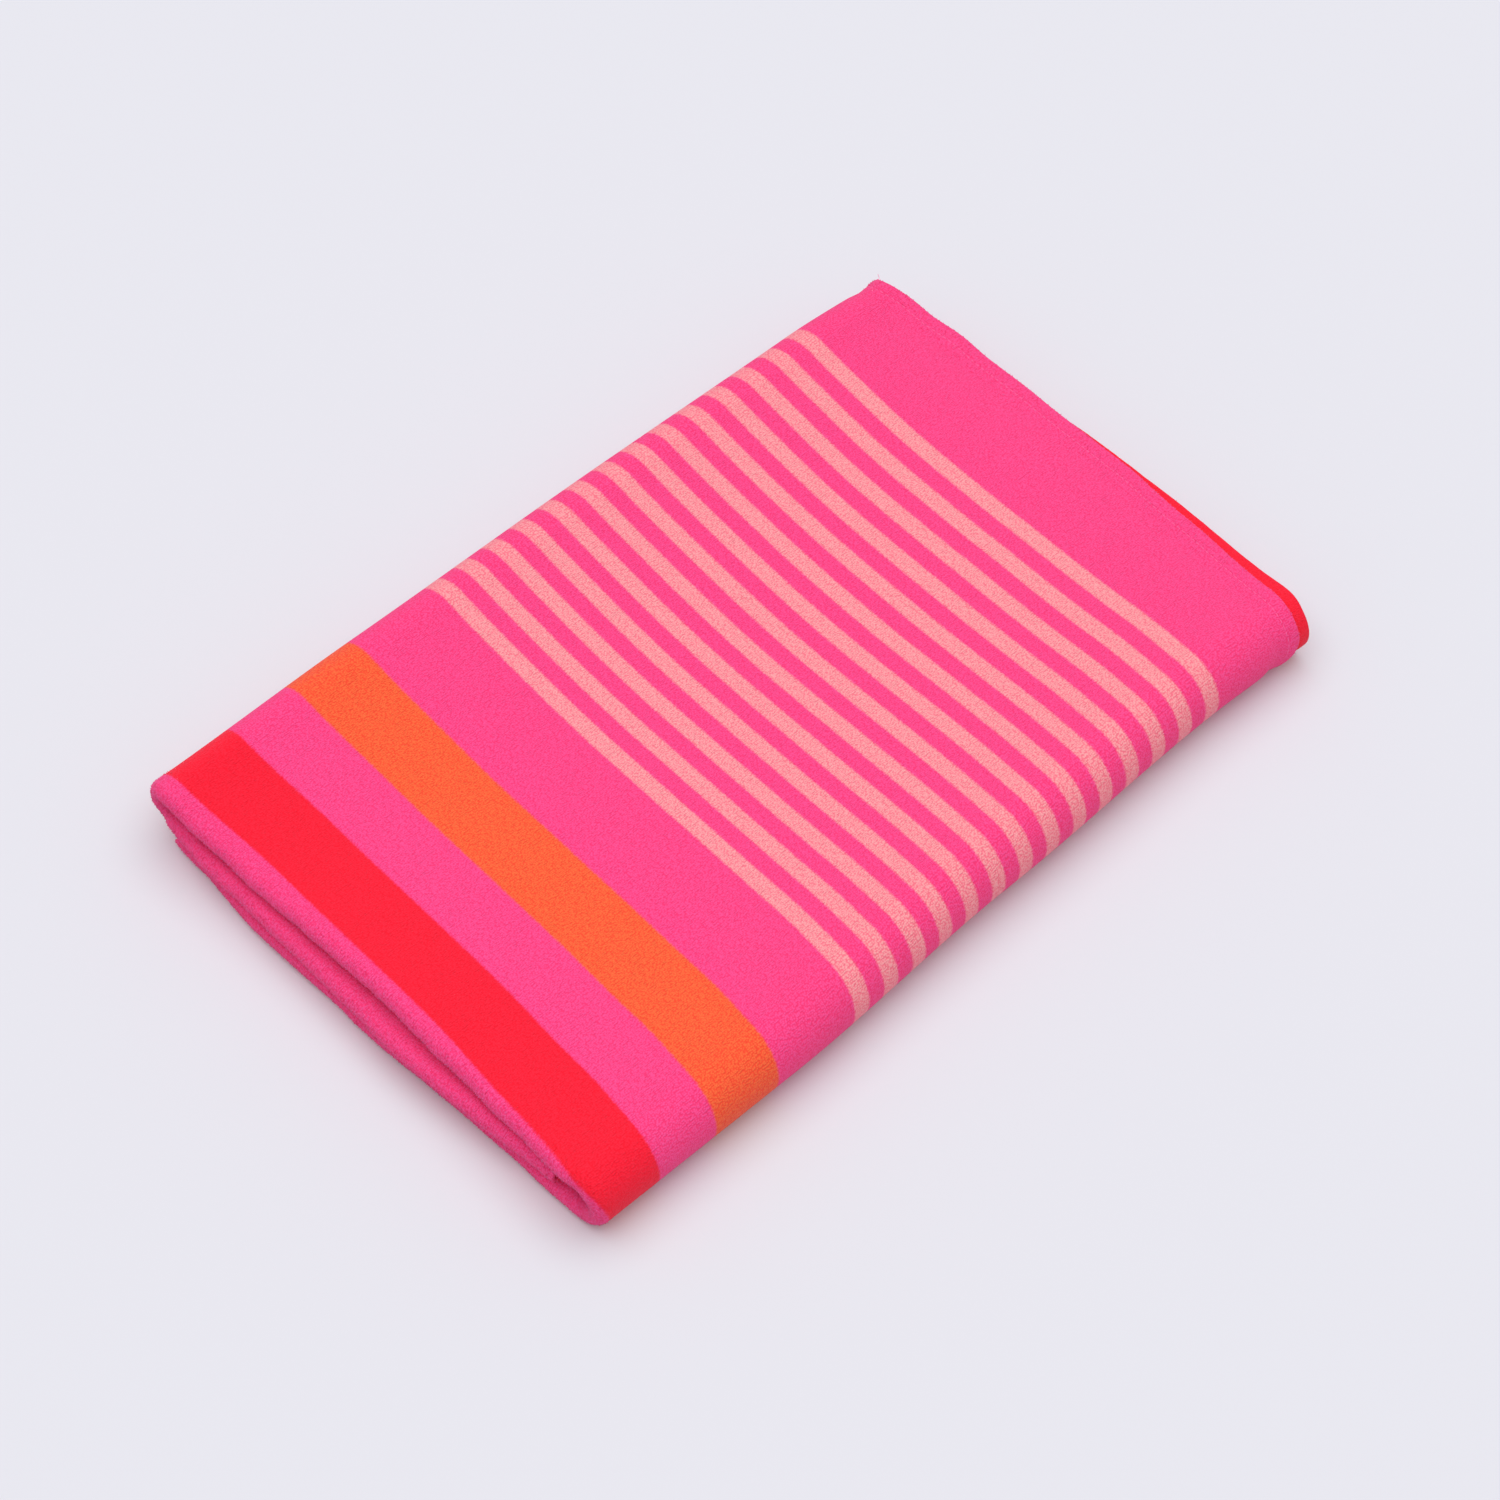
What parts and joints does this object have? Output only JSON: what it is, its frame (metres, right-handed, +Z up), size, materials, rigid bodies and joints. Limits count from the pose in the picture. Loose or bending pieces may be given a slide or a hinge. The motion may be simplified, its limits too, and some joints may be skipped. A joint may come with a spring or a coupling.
{
  "type": "beach towel",
  "caption": "Folded beach towel: a striped terry sheet doubled twice across its length, then folded in three lengthwise.",
  "frame": {"origin": "centre of the footprint, on the surface the towel rests on", "axes": "+X along the folded length, from the rounded rims to the hem end; +Y across, from the front fold to the back fold; +Z up"},
  "size_m": [0.451, 0.2932, 0.0457],
  "materials": {
    "terry": "matt cotton pile in hot pink, printed with red, orange and salmon stripes"
  },
  "bodies": {
    "root": {"towel": "terry"}
  },
  "joints": []
}
